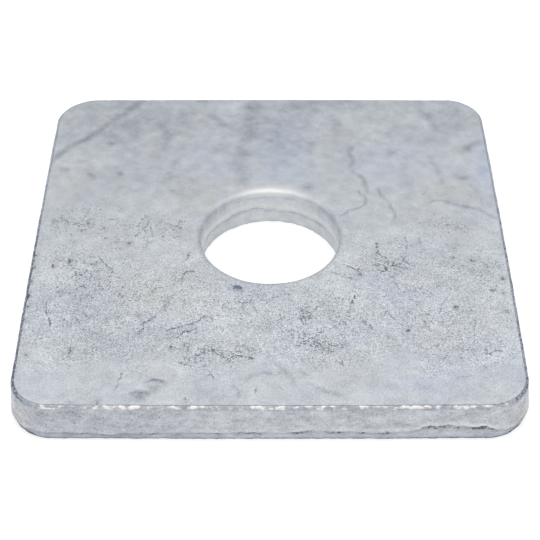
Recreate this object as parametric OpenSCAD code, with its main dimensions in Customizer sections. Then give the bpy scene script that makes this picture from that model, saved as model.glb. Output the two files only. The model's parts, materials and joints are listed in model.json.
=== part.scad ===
// Square plate washer: a blanked steel plate with a punched bolt hole, hot-dip galvanised.
// Millimetres. The underside lies on z = 0, and the hole stands on the z axis.

/* [Plate] */
// Side of the square at its top edge
side = 75; // [50:0.5:120]
// Thickness of the finished plate, zinc included
thickness = 6.5; // [5:0.1:12]
// Radius of the corners in plan, at the top edge
corner_r = 6; // [3:0.5:12]

/* [Outer edge] */
// Radius of the top edge, drawn down by the blanking tool
top_roll_r = 0.5; // [0.2:0.05:1]
// How far the sheared face leans out, from the top edge down to the torn band
shear_lean = 0.45; // [0.1:0.05:0.8]
// Height of the torn band above the underside
tear_h = 1.6; // [0.5:0.1:2.5]
// How far the torn band falls back again, down to the underside
tear_setback = 0.35; // [0.1:0.05:0.8]

/* [Bolt hole] */
// Diameter of the sheared wall, a clearance hole for an M20 bolt
hole_d = 22; // [12:0.5:30]
// Radius of the rim, drawn down by the punch
rim_roll_r = 1; // [0.3:0.1:1.5]
// Height of the torn cone above the underside
breakout_h = 2.9; // [1:0.1:3.2]
// How far the torn cone opens on the radius at the underside
breakout_flare = 0.1; // [0.05:0.05:0.8]

/* [Hidden] */
$fn = 96;

zinc_grey = [0.76, 0.78, 0.80];

// Length of each straight side, between the corner arcs
run = side - 2 * corner_r;
// Radius of the corners in plan at the lip, where the plate is widest
lip_r = corner_r + shear_lean;
hole_r = hole_d / 2;
// How far a cutting shape reaches past the face that it opens
overcut = 1;

// What a rolled edge of radius r takes off a square corner: the arc's centre is the origin,
// and the space lies towards +x and +y.
module roll_pocket(r) {
    difference() {
        square(r + overcut);
        circle(r);
    }
}

// Section through the edge of the plate: x runs out from a corner arc's centre, y up from the underside.
module edge_section() {
    difference() {
        polygon([
            [0, 0],
            [lip_r - tear_setback, 0],
            [lip_r, tear_h],
            [corner_r, thickness - top_roll_r],
            [corner_r, thickness],
            [0, thickness],
        ]);
        translate([corner_r - top_roll_r, thickness - top_roll_r])
            roll_pocket(top_roll_r);
    }
}

// The plate without its hole: a core, and the edge section carried along each side and round each corner.
module blank() {
    translate([0, 0, thickness / 2])
        cube([run, run, thickness], center = true);
    for (turn = [0 : 90 : 270])
        rotate(turn) {
            rotate([90, 0, 0])
                linear_extrude(height = run, center = true)
                    translate([run / 2, 0])
                        edge_section();
            translate([run / 2, run / 2])
                rotate_extrude(angle = 90)
                    edge_section();
        }
}

// Half section of the space that the punch leaves: the sheared wall, the torn cone and the drawn rim.
module hole_section() {
    translate([0, -overcut])
        square([hole_r, thickness + 2 * overcut]);
    polygon([
        [0, -overcut],
        [hole_r + breakout_flare, -overcut],
        [hole_r + breakout_flare, 0],
        [hole_r, breakout_h],
        [0, breakout_h],
    ]);
    translate([hole_r + rim_roll_r, thickness - rim_roll_r])
        mirror([1, 0])
            roll_pocket(rim_roll_r);
}

module washer() {
    color(zinc_grey)
        difference() {
            blank();
            rotate_extrude()
                hole_section();
        }
}

washer();
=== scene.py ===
"""Square plate washer in hot-dip galvanised steel: its zinc skin, its floor, its light and its camera.

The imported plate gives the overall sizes. The surface made here has the same form, and adds what the
blanking tool, the punch and the zinc bath left on it. Sizes are in millimetres until the mesh is made.
"""

import json
import logging
from dataclasses import dataclass, field, fields
from enum import Enum
from typing import Any

import bpy
import numpy as np
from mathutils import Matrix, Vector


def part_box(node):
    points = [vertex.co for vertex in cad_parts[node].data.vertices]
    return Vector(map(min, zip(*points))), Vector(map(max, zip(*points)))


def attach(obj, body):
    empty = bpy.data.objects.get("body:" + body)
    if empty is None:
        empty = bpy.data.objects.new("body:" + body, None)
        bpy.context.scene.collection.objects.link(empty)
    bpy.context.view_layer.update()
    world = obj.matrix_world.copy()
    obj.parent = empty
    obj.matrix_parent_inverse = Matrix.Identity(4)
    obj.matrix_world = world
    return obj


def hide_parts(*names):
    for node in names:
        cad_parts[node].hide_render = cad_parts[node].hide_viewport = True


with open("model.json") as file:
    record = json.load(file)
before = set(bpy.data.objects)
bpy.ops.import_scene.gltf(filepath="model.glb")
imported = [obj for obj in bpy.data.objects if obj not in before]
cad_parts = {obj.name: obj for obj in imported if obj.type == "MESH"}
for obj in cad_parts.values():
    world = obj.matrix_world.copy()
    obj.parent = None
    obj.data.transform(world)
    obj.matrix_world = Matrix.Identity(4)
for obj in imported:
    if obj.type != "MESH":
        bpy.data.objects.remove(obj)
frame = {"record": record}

LOG = logging.getLogger("washer")

# Metres in a millimetre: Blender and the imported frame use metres.
MM = 0.001
NODE = "washer"
BODY = "root"
# Side of the square photograph, in pixels.
PHOTO_PIXELS = 540

# The kinds of node that come up most, and the settings of the sums that they do.
MATH = "ShaderNodeMath"
VECTOR = "ShaderNodeVectorMath"
RANGE = "ShaderNodeMapRange"
MIX = "ShaderNodeMix"
SPLIT = "ShaderNodeSeparateXYZ"
PLUS = {"operation": "ADD"}
TIMES = {"operation": "MULTIPLY"}
TIMES_PLUS = {"operation": "MULTIPLY_ADD"}
MOST = {"operation": "MAXIMUM"}
SMOOTH = {"interpolation_type": "SMOOTHSTEP"}
OVER = {"data_type": "RGBA", "blend_type": "MIX"}
RAISE = {"data_type": "RGBA", "blend_type": "LINEAR_LIGHT"}

Path = tuple[tuple[float, float], ...]
# Two values of what a share follows, and the two shares between which it goes, 0 and 1 unless they are given.
Ramp = tuple[float, ...]
# The middle, the least and the most of an uneven share.
Uneven = tuple[float, float, float]
# One value for a whole row, or one for each of its steps.
Level = float | np.ndarray
Sockets = dict[str, bpy.types.NodeSocket]


def linear(code: str) -> tuple[float, float, float, float]:
    """Turns an sRGB hex value into the linear colour that Blender's sockets hold.

    Args:
        code: The colour as "#rrggbb".

    Returns:
        Red, green, blue and an alpha of one.
    """
    shown = np.array([int(code[at : at + 2], 16) for at in (1, 3, 5)]) / 255.0
    light = np.where(shown <= 0.04045, shown / 12.92, ((shown + 0.055) / 1.055) ** 2.4)
    return (*(float(part) for part in light), 1.0)


def per_metre(size: float) -> float:
    """Gives a texture's scale for a pattern whose features are size millimetres apart."""
    return 1.0 / (size * MM)


def add_node(
    tree: bpy.types.NodeTree,
    kind: str,
    inputs: dict[Any, Any] | None = None,
    out: int | str = 0,
    **settings: Any,
) -> bpy.types.NodeSocket:
    """Adds a node, sets it and links what comes in.

    Args:
        tree: The node tree to add to.
        kind: Blender's name of the node type.
        inputs: For each input's name or number, a socket to link or a value to set.
        out: The name or number of the output that is wanted.
        settings: The node's own properties.

    Returns:
        The wanted output of the new node.
    """
    made = tree.nodes.new(kind)
    for name, value in settings.items():
        setattr(made, name, value)
    for key, value in (inputs or {}).items():
        if isinstance(value, bpy.types.NodeSocket):
            tree.links.new(value, made.inputs[key])
        else:
            made.inputs[key].default_value = value
    return made.outputs[out]


def in_order(*values: Any) -> dict[int, Any]:
    """Numbers a node's inputs from the first one on."""
    return dict(enumerate(values))


def smooth_step(low: float, high: float, value: np.ndarray) -> np.ndarray:
    """Goes from 0 at low to 1 at high along the curve 3t^2 - 2t^3."""
    t = np.clip((value - low) / (high - low), 0.0, 1.0)
    return t * t * (3.0 - 2.0 * t)


@dataclass(frozen=True)
class Swell:
    """Lumps in a coat that ran and set: plane waves of random heading and phase, added up."""

    size: float
    height: float
    seed: int
    waves: int = 24

    def at(self, points: np.ndarray) -> np.ndarray:
        """Works out the height of the lumps.

        Each wave is a cosine of the distance along its heading, with a length between 0.7 and 1.5
        times the size. The sum is scaled so that height is its standard deviation.

        Args:
            points: Places in millimetres, the last axis being x, y, z.

        Returns:
            One height in millimetres for each place.
        """
        draw = np.random.default_rng(self.seed)
        heading = draw.normal(size=(self.waves, 3))
        heading /= np.linalg.norm(heading, axis=1, keepdims=True)
        length = self.size * draw.uniform(0.7, 1.5, (self.waves, 1))
        phase = draw.uniform(0.0, 2.0 * np.pi, self.waves)
        turns = points @ (2.0 * np.pi * heading / length).T + phase
        return self.height * np.sqrt(2.0 / self.waves) * np.cos(turns).sum(axis=-1)

    def share(self, points: np.ndarray, middle: float, low: Level, high: float) -> np.ndarray:
        """Gives the lumps as an uneven share about a middle, held between two bounds."""
        return np.clip(middle + self.at(points), low, high)


@dataclass(frozen=True)
class Crease:
    """A line in the zinc of the top face, where the coat creased or parted as it set."""

    width: float
    dark: float
    path: Path

    def measure(self, x: np.ndarray, y: np.ndarray, taper: float) -> tuple[np.ndarray, np.ndarray]:
        """Measures each place against the crease.

        The distance to the nearest stretch of the path has the sign of the side on which the place lies,
        so that it runs straight through zero on the crease itself and a coarse grid still gives a thin line.

        Args:
            x: Places across the plate.
            y: Places along the plate.
            taper: The length over which the crease fades at its two ends.

        Returns:
            The signed distance, and the crease's darkness along its length.
        """
        path = np.array(self.path)
        steps = np.diff(path, axis=0)
        lengths = np.linalg.norm(steps, axis=1)
        before = np.concatenate([[0.0], np.cumsum(lengths)])
        gap = np.full(x.shape, np.inf)
        side, walked = np.zeros((2, *x.shape))
        for start, step, length, done in zip(path, steps, lengths, before):
            dx, dy = x - start[0], y - start[1]
            share = np.clip((dx * step[0] + dy * step[1]) / length**2, 0.0, 1.0)
            here = np.hypot(dx - share * step[0], dy - share * step[1])
            side = np.where(here < gap, step[0] * dy - step[1] * dx, side)
            walked = np.where(here < gap, done + share * length, walked)
            gap = np.minimum(here, gap)
        fade = np.clip(np.minimum(walked, before[-1] - walked) / taper, 0.0, 1.0)
        return np.copysign(gap, side), self.dark * fade


@dataclass(frozen=True)
class Oval:
    """An oval patch of the top face with a soft edge: its middle, half axes, share and turn in degrees."""

    middle: tuple[float, float]
    half: tuple[float, float]
    share: float = 1.0
    turn: float = 0.0

    def weight(self, x: np.ndarray, y: np.ndarray) -> np.ndarray:
        """Gives the patch's share at each place: a bell curve over its two half axes.

        Args:
            x: Places across the plate.
            y: Places along the plate.

        Returns:
            One value for each place, the share at the middle and 0 far away.
        """
        angle = np.radians(self.turn)
        along = (x - self.middle[0]) * np.cos(angle) + (y - self.middle[1]) * np.sin(angle)
        across = (y - self.middle[1]) * np.cos(angle) - (x - self.middle[0]) * np.sin(angle)
        return self.share * np.exp(-((along / self.half[0]) ** 2) - (across / self.half[1]) ** 2)


# Creases are in millimetres from the hole's axis, as the camera faces the plate: width, darkness and path.
# The cracks are thin and sharp.
CRACKS: tuple[Crease, ...] = (
    # On the far half
    Crease(0.7, 0.45, ((-35.6, 2.1), (-34.6, 3.4), (-33, 3.5))),
    Crease(0.7, 0.45, ((-32, 3.2), (-30.6, 2.3), (-28.8, 2.7))),
    Crease(0.6, 0.4, ((-27, 3.4), (-25.5, 4.2), (-24.3, 3.7))),
    Crease(0.7, 0.45, ((-21.2, 3.6), (-19.8, 4.8), (-19.5, 3.6), (-20.2, 1.8), (-20, 0.2))),
    Crease(0.6, 0.45, ((-17.2, 3.1), (-15.2, 2.3), (-13.8, 1.3))),
    Crease(0.5, 0.5, ((25, 10.2), (26, 10.6))),
    # The branching figure on the right of the hole
    Crease(0.5, 0.75, ((17.3, -1.6), (16.9, -4.2), (18, -5.2), (18.6, -6.6), (18.4, -7.6))),
    Crease(0.5, 0.85, ((15.8, -7.4), (17.4, -7.3), (18.4, -8.4), (17.5, -9), (16.6, -8.2))),
    Crease(0.5, 0.85, ((19, -6.7), (19.4, -7.5), (20.6, -8), (21.8, -8.3))),
    Crease(0.45, 0.8, ((18.6, -8.5), (19.4, -8.8), (19.7, -9.7))),
    Crease(0.45, 0.75, ((20.4, -4.9), (21.2, -6.2), (21.9, -7.5))),
    Crease(0.45, 0.55, ((21.7, 0.2), (21.7, -2), (21.5, -4.6))),
    Crease(0.45, 0.75, ((9.4, -8.8), (10.8, -9.4), (12, -10), (13.2, -10.6))),
    Crease(0.5, 0.75, ((11.4, -6.9), (12.5, -7.8), (13.8, -8.6), (14.2, -9.6))),
    Crease(0.45, 0.7, ((18.6, -11), (19.5, -12), (20, -13.2))),
    Crease(0.8, 1.0, ((13.2, -13.8), (12.8, -15), (12.2, -16.2))),
    # Near right
    Crease(0.45, 0.55, ((13.7, -19.3), (14.4, -20.3), (15, -21), (15.8, -21.8))),
    Crease(0.6, 0.8, ((3.7, -17.3), (5, -17.2), (5.1, -18.6), (4.9, -20.2))),
    Crease(0.5, 0.7, ((4.6, -18.9), (5.7, -18.2), (6.1, -18.8), (5.4, -19.4))),
    Crease(0.5, 0.9, ((1.6, -18.3), (1.7, -19.2))),
    Crease(0.45, 0.5, ((25.2, -18.6), (26, -17), (27.4, -14.2))),
    Crease(0.45, 0.75, ((23, -19.5), (23.3, -21), (23.9, -22))),
    Crease(0.45, 0.6, ((15.8, -17.2), (17, -17), (19, -20))),
    Crease(0.45, 0.7, ((31.3, -25.5), (31.8, -26.8), (34.2, -26))),
    Crease(0.45, 0.6, ((21, -26.8), (21.8, -26.3))),
    Crease(0.5, 0.75, ((10.6, -28), (10.4, -29.4))),
    Crease(0.45, 0.45, ((26, -32.1), (27.6, -31.5), (29.2, -30.9))),
    # Left of the hole and near left
    Crease(0.6, 0.65, ((-11.4, -8.6), (-12.8, -9), (-13.8, -9.8), (-13.9, -11.6))),
    Crease(0.6, 0.65, ((-12.7, -3.8), (-12.7, -5.4), (-13.6, -6.8))),
    Crease(0.55, 0.9, ((-17, -18.7), (-18, -19.9), (-18.8, -20.3), (-19.2, -21.5), (-19.6, -22.6))),
    Crease(0.5, 0.75, ((-16, -21.8), (-13.8, -21.3), (-12.2, -20.8), (-11, -20), (-9.2, -18.6))),
    Crease(0.5, 0.75, ((-9.4, -18.8), (-8.7, -19.4), (-8.7, -20.4))),
    Crease(0.45, 0.85, ((-14.3, -23.6), (-13.3, -22.6), (-12, -22.3), (-11.2, -20.9))),
    Crease(
        0.6, 0.75, ((-11.2, -27.3), (-8.3, -25.9), (-7.4, -27), (-6.2, -27.6), (-4.8, -27.2), (-2, -27.9))
    ),
    Crease(0.45, 0.75, ((-13.6, -28.4), (-12.2, -29), (-11.4, -29.7))),
    Crease(0.5, 0.65, ((-28.6, -5), (-27, -5.5), (-25.5, -7), (-24.7, -8.5), (-24.9, -10.2))),
    Crease(0.5, 0.8, ((-34, -15.4), (-33.7, -17), (-33.5, -18.6), (-33, -20), (-32.7, -21.6))),
    Crease(0.45, 0.6, ((-34.5, -24), (-33.3, -22.5))),
    Crease(0.5, 0.55, ((-21.8, -30.3), (-21.6, -32), (-22.2, -34.2))),
    Crease(0.45, 0.75, ((-8.9, -30.3), (-8.2, -32.1))),
    Crease(0.45, 0.5, ((-2, -33.2), (-2.1, -35))),
    Crease(0.5, 0.75, ((-12.2, -35.2), (-11.8, -36.6))),
)

# The folds are soft shades.
FOLDS: tuple[Crease, ...] = (
    # Narrow ones on the right of the far half
    Crease(
        0.95, 0.5, ((14.2, 11.8), (15.8, 9), (15.5, 7.6), (14.4, 6.7), (12.8, 6.2), (12.3, 5.3), (11, 4.6))
    ),
    Crease(0.95, 0.5, ((17.5, 12.5), (18.6, 9.6), (19.6, 8), (19.9, 6.4), (20.4, 5.2), (20, 3.4))),
    Crease(0.95, 0.52, ((25.8, 7.8), (27, 8.7), (28.6, 8.6), (30.2, 7.6), (32.5, 7), (34.2, 6.2), (37, 3.7))),
    Crease(0.95, 0.38, ((33, 13.5), (33.8, 12), (34.8, 10.3))),
    # Broad ones on the far half
    Crease(2.3, 0.52, ((-38.5, 17), (-35.3, 22.3), (-33.5, 24.3), (-31.5, 25.8), (-30, 27.8))),
    Crease(2.2, 0.52, ((-33.5, 24.3), (-31.5, 25.8), (-28, 30.5), (-25.5, 33), (-21.5, 39))),
    Crease(4.4, 0.55, ((-3, 39), (-2.9, 29.8), (-3.7, 27), (-4.4, 23))),
    Crease(4.2, 0.3, ((-3.7, 27), (-4.4, 24), (-4.7, 21), (-5, 18), (-4.4, 15), (-4.4, 10))),
    Crease(3.0, 0.4, ((-11.5, 33.5), (-8, 29.6), (-6, 28.6), (-3, 27.3))),
    Crease(2.6, 0.24, ((-7.6, 28), (-8.2, 26), (-8.9, 23.5), (-10.2, 20))),
    Crease(2.6, 0.26, ((-15.8, 20.5), (-16.7, 16), (-17.8, 12))),
    Crease(3.4, 0.3, ((-19, 31), (-17.5, 27), (-18, 25), (-19, 21))),
    Crease(3.4, 0.34, ((0.5, 34), (5, 35.5), (8.5, 36.4), (16, 36.8))),
    Crease(3.0, 0.36, ((11, 33), (12, 29.2), (12, 26.5))),
    Crease(3.0, 0.34, ((26.2, 35.5), (28, 31.5), (28.8, 30), (29.6, 26))),
    Crease(2.8, 0.45, ((32.2, 20.5), (34.3, 23.4), (37, 25.4))),
    Crease(2.0, 0.46, ((30, 15), (32.2, 14.5), (34.4, 15.2))),
    Crease(
        1.6,
        0.42,
        ((14.4, 24.4), (13.6, 21.5), (14.2, 19.3), (13.4, 17.5), (14.2, 16), (15.6, 14.5), (16.2, 10)),
    ),
    Crease(2.2, 0.28, ((26.8, 21.5), (27.9, 18), (28.5, 15.5), (29.2, 11.5))),
    # The upper edges of the two dents
    Crease(0.9, 0.95, ((-18.3, -33), (-16.9, -32), (-15.6, -32.2), (-14.6, -33))),
    Crease(0.9, 0.85, ((-20.3, -35), (-19, -34.3), (-17.8, -34.4), (-16.9, -35.2))),
    # Near the hole and the near edge
    Crease(1.6, 0.25, ((-14.2, -12.6), (-15.6, -15.2), (-16, -17.4), (-17.4, -19.4))),
    Crease(1.6, 0.32, ((-0.2, -27), (1.8, -30), (3.2, -32), (4, -33.8))),
    Crease(1.4, 0.38, ((5.2, -32.6), (8, -34.4), (11, -35.4))),
    Crease(1.4, 0.36, ((4, -29.6), (5.2, -31), (7, -31.7))),
    Crease(0.9, 0.4, ((-3.8, -32.6), (-2.6, -31.1), (-0.9, -30.6), (0.9, -31.1), (2.2, -29.9))),
    Crease(0.9, 0.4, ((-6, -34.2), (-5.2, -33.3), (-4.6, -33.9), (-4.4, -35.2), (-4.9, -36.2))),
)

# The separate dark spots are ragged ovals.
BLOTS: tuple[Oval, ...] = (
    Oval((-28, 8), (1.4, 0.8), 0.35),
    Oval((-31.2, -1.7), (0.6, 0.6), 0.5),
    Oval((-26, -0.8), (0.5, 0.5), 0.75),
    Oval((-24.3, -1.8), (0.6, 0.5), 0.8),
    Oval((-22.4, -2), (0.6, 0.6), 0.8),
    Oval((-31.4, -6.4), (0.7, 1.0), 0.85),
    Oval((-33.8, -7.4), (0.6, 1.1), 0.75, 15),
    Oval((-27.6, -6.9), (0.9, 0.6), 0.75),
    Oval((-5, -12.4), (1.2, 0.75), 0.95, -30),
    Oval((-14.7, -25.5), (0.5, 0.8), 0.8),
    Oval((-12.7, -25), (0.7, 0.6), 0.65),
    Oval((-8.3, -26), (0.4, 0.6), 0.8),
    Oval((-35.5, -27), (0.6, 0.6), 0.8),
    Oval((-29.4, -26.3), (0.6, 0.9), 0.6),
    Oval((13.9, -9.4), (0.7, 0.6), 0.7),
    Oval((20.5, -21.8), (0.45, 0.6), 1.0),
    Oval((17.5, -23.2), (0.5, 0.5), 0.85),
    Oval((28.2, -16.8), (0.45, 0.7), 0.9),
    Oval((34.4, -13), (0.55, 0.4), 0.9),
    Oval((30.3, -7.5), (0.55, 0.45), 0.85),
    Oval((34.2, -17), (0.45, 0.45), 0.8),
    Oval((35.8, -17.8), (0.45, 0.65), 0.8),
    Oval((35.7, -13.6), (0.45, 0.65), 0.8),
    Oval((36, -10.4), (0.4, 0.7), 0.8),
    Oval((31.7, -6.2), (0.7, 0.5), 0.85),
    Oval((28.7, -5.5), (0.6, 0.5), 0.8),
    Oval((9.3, -19.8), (0.5, 0.5), 0.6),
    Oval((11.2, -20.5), (0.6, 0.5), 0.7),
    Oval((31.2, -29.6), (0.6, 0.4), 0.6, 30),
    Oval((22, -33.5), (0.4, 0.5), 0.6),
    Oval((-16, -32.4), (0.9, 0.4), 0.6, -15),
    Oval((-18.5, -34.5), (0.8, 0.4), 0.55),
    Oval((-24.4, -36.4), (0.4, 0.6), 0.8),
    Oval((-28.2, -36.4), (0.8, 0.35), 0.6),
)

# Where fine pits and cracks crowd together.
PIT_PATCHES: tuple[Oval, ...] = (
    Oval((-28.5, -11.5), (5, 3.8), 0.75),
    Oval((-31, -6.5), (5, 3), 0.5),
    Oval((-30, 3), (8, 5), 0.46),
    Oval((-20, 1), (6, 5), 0.46),
    Oval((-14.5, 1.5), (3, 3), 0.5),
    Oval((5.5, -19), (3, 2.6), 0.6),
    Oval((6.8, -24.5), (4.6, 4), 0.7),
    Oval((11, -21), (3.4, 4), 0.56),
    Oval((-8, -26.5), (8, 3), 0.55),
    Oval((-28, -26), (4, 2.6), 0.6),
    Oval((18, -7.5), (6, 3.6), 0.5),
    Oval((26, -18), (7, 5), 0.46),
    Oval((28, -25), (8, 4), 0.4),
    Oval((-27, -19.5), (8, 4), 0.42),
    Oval((33, -9), (4, 8), 0.42),
    Oval((24, -3), (10, 4), 0.3),
    Oval((29, 2), (6, 3), 0.35),
    Oval((-4, -15.5), (8, 3), 0.5),
    Oval((-20, -15), (15, 9), 0.36),
    Oval((5, -18), (16, 8), 0.41),
    Oval((25, -14), (12, 9), 0.31),
)

# What was knocked or pulled out of the top face.
DENTS: tuple[Oval, ...] = (
    Oval((-16.5, -33), (1.3, 0.8), 1.0, 20),
    Oval((-18.6, -35), (1.0, 0.9)),
    Oval((-5, -12.5), (0.8, 0.6), 1.0, -30),
)


class Tone(Enum):
    """The hues that the zinc takes in patches, in the order in which the mesh's tone carries them."""

    COOL = "#c3cde0"
    WARM = "#d2d0c9"
    # Also painted shade on the rim, in the hole and on the corner faces.
    DULL_AND_SHADE = "#959aa6"


# Where each hue lies on the top face.
TONES: dict[Tone, tuple[Oval, ...]] = {
    Tone.COOL: (
        Oval((16, -11), (3, 2.5), 0.35),
        Oval((19.5, -15), (3.5, 2.2), 0.35),
        Oval((22, -33), (6, 2.5), 0.35),
        Oval((-4.8, -12.6), (1.6, 1.1), 0.7),
        Oval((2.5, 23), (5, 9), 0.4),
        Oval((-9.5, 19), (6, 6), 0.25),
        Oval((30, -24.5), (6, 4), 0.3, -35),
        Oval((20, 20), (5, 5), 0.3),
        Oval((36.5, 18), (2.5, 8), 0.6),
        Oval((-29, -18), (8, 6), 0.1),
    ),
    Tone.WARM: (
        Oval((-16, -13), (6, 5), 0.35),
        Oval((-10, 9), (5, 4), 0.35),
        Oval((26, -23), (4, 4), 0.25),
        Oval((-33, 14), (4, 4), 0.25),
        Oval((29, 11), (5, 3), 0.25),
    ),
    Tone.DULL_AND_SHADE: (
        # Most of these lie on the far half, and darken it.
        Oval((-24, 31), (17, 11), 0.35),
        Oval((-17, 25), (4, 7), 0.14),
        Oval((-6, 27), (4, 9), 0.14),
        Oval((-31, 21), (6, 5), 0.17),
        Oval((2, 29), (14, 11), 0.27),
        Oval((7, 36), (11, 3), 0.3),
        Oval((12, 31), (4, 5), 0.14),
        Oval((32, 33), (6, 7), 0.29),
        Oval((22, 27), (12, 10), 0.17),
        Oval((-20, 14), (14, 7), 0.22),
        Oval((-29, -18), (8, 6), 0.14),
        Oval((-22, -25), (9, 4), 0.16),
        Oval((-16.4, -33.2), (1.5, 0.9), 0.45, 15),
        Oval((-18.6, -35.2), (1.2, 1.0), 0.45),
        Oval((24, 9), (11, 6), 0.12),
        Oval((4, -34), (30, 4), 0.1),
        # Separate soft spots
        Oval((-27.3, 24), (1.0, 0.9), 0.8),
        Oval((-21.8, 23.4), (1.0, 0.8), 0.5),
        Oval((-34.5, 17), (0.9, 0.9), 0.5),
        Oval((-29.9, 15.2), (0.7, 1.5), 0.65, 30),
        Oval((-25.2, 15.8), (1.0, 0.7), 0.55, -30),
        Oval((-16, 11.3), (0.9, 0.7), 0.4),
        Oval((-20.5, 33), (1.5, 2.0), 0.4),
        Oval((-12, 36.8), (2.0, 0.9), 0.5),
        Oval((32.5, 33), (2.4, 2.4), 0.4),
        Oval((8.5, 33.8), (1.8, 1.5), 0.4),
        Oval((7, 24.2), (1.1, 1.1), 0.5),
        Oval((6.4, 12.1), (1.3, 0.8), 0.5),
        Oval((20.7, 21.3), (1.2, 1.0), 0.55, 40),
    ),
}

# How much of the near edge is beaded, with smoother zinc and a painted glint, along it from left to right.
BEAD_PLACES = (-33, -31, -27, -24, -19.8, -17, -14, -12, -10.8, -9.6, -4, 2, 6, 10, 16, 20, 24, 30, 33)
BEAD_SHARES = (0.2, 0.5, 0.5, 0.4, 0.9, 0.4, 0.1, 0.2, 1.0, 0.2, 0.2, 0.5, 0.5, 0.4, 0.6, 0.8, 0.6, 0.7, 0.1)

# How much of the grain shows, along the plate: the far third and the strip by the near edge are smoother.
GRAIN_PLACES = (-36, -31, -27, -15, -5, 0, 6, 12, 20)
GRAIN_SHARES = (0.4, 0.44, 1.0, 0.97, 0.76, 0.42, 0.26, 0.14, 0.07)

# How far the tear ran up on the near side, along it from left to right, over its usual height.
CLIMB_PLACES = (-4, 6, 16, 19.5, 21.7, 23.6, 27, 30, 31.5, 33.5)
CLIMB_HEIGHTS = (0, 0.2, 0.25, 0.6, 1.2, 1.9, 1.8, 1.9, 1.3, 0)

# The mesh's attributes, and what their three values are. crack is the signed distance to the nearest crack,
# that crack's half width and its darkness. skin is how pits crowd, the dull spots together with the painted
# shade along the edges, the lip and the foot, and how much of the grain shows. zone is where the metal is
# torn, where it was sheared and how beaded an edge is. tone is the share of each hue, the dull one also
# painted shade on the rim, in the hole and on the corner faces. sheen is where the zinc is more matt and
# where a highlight is painted, and its third value isn't used.
MARKS: dict[str, tuple[str, str, str]] = {
    "crack": ("side", "half", "dark"),
    "skin": ("crowd", "blot", "grain"),
    "zone": ("torn", "sheared", "beaded"),
    "tone": ("cool", "warm", "dull"),
    "sheen": ("matt", "light", "unused"),
}


@dataclass(frozen=True)
class Pattern:
    """A noise that clouds a surface: the size of its features in millimetres, and how busy it is."""

    size: float
    detail: float = 2.0
    roughness: float = 0.55
    # How many times wider than high the features are.
    flat: float = 1.0


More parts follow.
